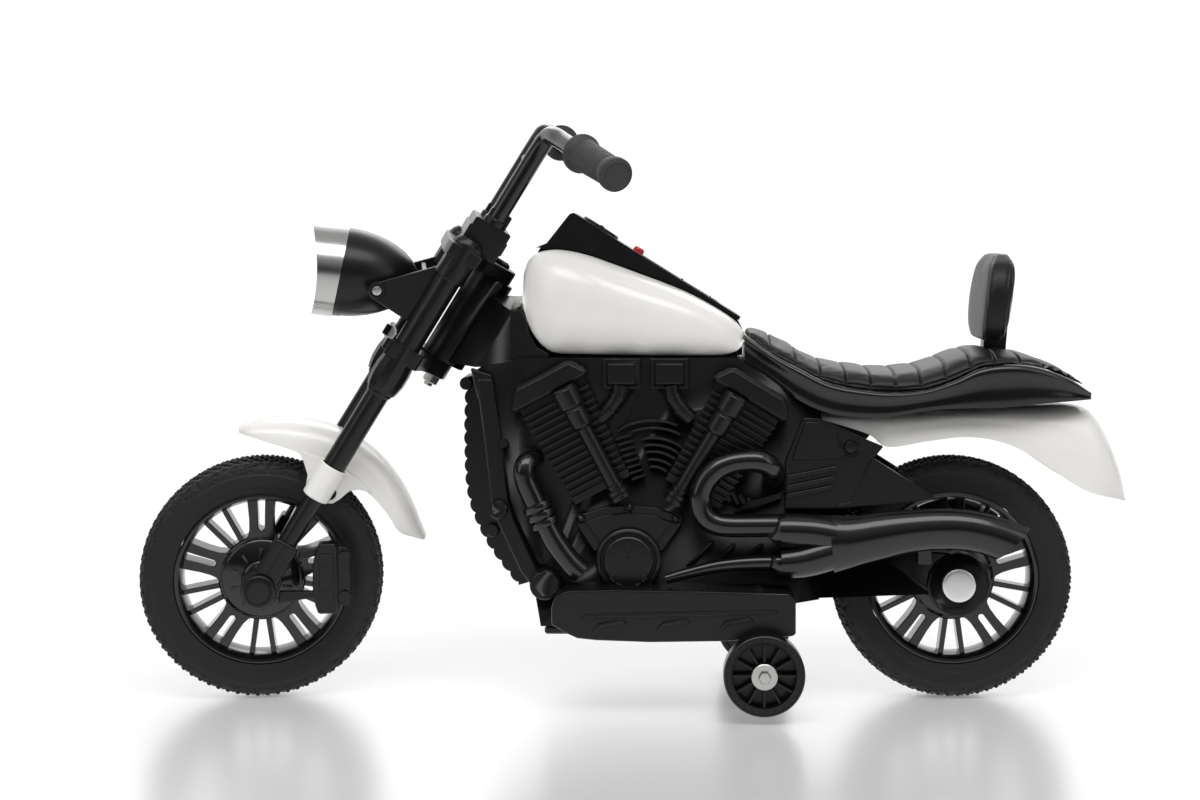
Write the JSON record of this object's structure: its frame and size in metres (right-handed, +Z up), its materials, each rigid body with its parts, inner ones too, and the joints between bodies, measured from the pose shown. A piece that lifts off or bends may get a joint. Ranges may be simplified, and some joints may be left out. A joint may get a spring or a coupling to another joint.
{
  "type": "kids ride-on motorcycle",
  "caption": "Child's electric ride-on motorcycle in chopper style, with raked fork, padded seat and backrest, moulded engine and exhausts, and a training wheel on each side.",
  "frame": {"origin": "on the floor, under the middle of the toy's box as it stands in the picture, steered a little to its left", "axes": "+Z up, front towards -X, the rider's left towards -Y"},
  "size_m": [1.0413, 0.4265, 0.6117],
  "materials": {
    "matt_black_plastic": "injection-moulded black plastic, satin with a fine grain",
    "gloss_black_plastic": "polished black plastic",
    "gloss_white_plastic": "glossy white plastic",
    "black_leatherette": "soft black imitation leather over foam, with sewn channels",
    "foam_tyre": "matt black foam rubber",
    "chrome_plate": "bright plated plastic",
    "zinc_steel": "zinc-plated steel",
    "grip_rubber": "ribbed black rubber",
    "black_enamelled_steel": "glossy black enamel",
    "red_plastic": "red moulded plastic",
    "clear_lens": "clear moulded lens",
    "battery_case": "plain battery case"
  },
  "bodies": {
    "chassis": {"body_shell_left": "matt_black_plastic", "body_shell_right": "matt_black_plastic", "engine_front_left": "matt_black_plastic", "engine_front_right": "matt_black_plastic", "engine_rear_left": "matt_black_plastic", "engine_rear_right": "matt_black_plastic", "timing_cover_left": "matt_black_plastic", "timing_cover_right": "matt_black_plastic", "header_pipe_left": "gloss_black_plastic", "header_pipe_right": "gloss_black_plastic", "exhaust_left": "gloss_black_plastic", "exhaust_right": "gloss_black_plastic", "side_cover_left": "matt_black_plastic", "side_cover_right": "matt_black_plastic", "footboard_left": "matt_black_plastic", "footboard_right": "matt_black_plastic", "tank_panel_left": "gloss_white_plastic", "tank_panel_right": "gloss_white_plastic", "floor_pan": "matt_black_plastic", "tank_console": "matt_black_plastic", "seat_base": "gloss_black_plastic", "seat_pad": "black_leatherette", "backrest_pad": "black_leatherette", "backrest_post": "matt_black_plastic", "rear_fender": "gloss_white_plastic", "battery": "battery_case", "motor_gearbox": "matt_black_plastic", "rear_axle": "zinc_steel", "grille_spine": "matt_black_plastic", "stabilizer_bar": "zinc_steel", "training_bolt_left": "zinc_steel", "training_bolt_right": "zinc_steel", "rear_cap_left": "chrome_plate", "rear_cap_right": "chrome_plate"},
    "steering": {"fork_leg_left": "matt_black_plastic", "fork_leg_right": "matt_black_plastic", "front_axle": "zinc_steel", "lower_yoke": "matt_black_plastic", "upper_yoke": "matt_black_plastic", "handlebar": "black_enamelled_steel", "grip_left": "grip_rubber", "grip_right": "grip_rubber", "headlight_bowl": "matt_black_plastic", "headlight_bezel": "chrome_plate", "headlight_lens": "clear_lens", "headlight_bracket": "matt_black_plastic", "front_fender": "gloss_white_plastic", "brake_caliper": "matt_black_plastic", "front_cap_left": "matt_black_plastic", "front_cap_right": "matt_black_plastic"},
    "front_wheel": {"front_tyre": "foam_tyre", "front_rim": "gloss_black_plastic"},
    "rear_wheel": {"rear_tyre": "foam_tyre", "rear_rim": "gloss_black_plastic"},
    "training_wheel_left": {"training_wheel_left": "matt_black_plastic"},
    "training_wheel_right": {"training_wheel_right": "matt_black_plastic"},
    "horn_button": {"horn_button": "red_plastic"},
    "direction_rocker": {"direction_rocker": "matt_black_plastic"},
    "power_rocker": {"power_rocker": "red_plastic"},
    "foot_pedal": {"foot_pedal": "matt_black_plastic"}
  },
  "joints": [
    {"name": "steering", "type": "hinge", "parent": "chassis", "child": "steering", "pos_m": [-0.20756, 0, 0.34487], "axis": [0.521, 0, 0.8536], "range_deg": [-39, 21]},
    {"name": "front_wheel_spin", "type": "hinge", "parent": "steering", "child": "front_wheel", "pos_m": [-0.39054, -0.00688, 0.12852], "axis": [-0.1335, 0.9877, 0.0815], "continuous": true},
    {"name": "rear_wheel_spin", "type": "hinge", "parent": "chassis", "child": "rear_wheel", "pos_m": [0.34, 0, 0.1275], "axis": [0, 1, 0], "continuous": true},
    {"name": "training_wheel_left_spin", "type": "hinge", "parent": "chassis", "child": "training_wheel_left", "pos_m": [0.136, -0.129, 0.049], "axis": [0, 1, 0], "continuous": true},
    {"name": "training_wheel_right_spin", "type": "hinge", "parent": "chassis", "child": "training_wheel_right", "pos_m": [0.136, 0.129, 0.049], "axis": [0, 1, 0], "continuous": true},
    {"name": "horn_press", "type": "slide", "parent": "chassis", "child": "horn_button", "axis": [-0.5226, 0, -0.8526], "range_m": [0, 0.002], "stiffness_N_per_m": 400, "springref_m": -0.001},
    {"name": "direction_rock", "type": "hinge", "parent": "chassis", "child": "direction_rocker", "pos_m": [0.04391, 0, 0.44249], "axis": [0, 1, 0], "range_deg": [0, 16]},
    {"name": "power_rock", "type": "hinge", "parent": "chassis", "child": "power_rocker", "pos_m": [0.07591, 0, 0.42288], "axis": [0, 1, 0], "range_deg": [0, 16]},
    {"name": "pedal_press", "type": "hinge", "parent": "chassis", "child": "foot_pedal", "pos_m": [0.008, 0.097, 0.128], "axis": [0, -1, 0], "range_deg": [0, 7], "stiffness_Nm_per_rad": 3, "springref_deg": -1.15}
  ]
}
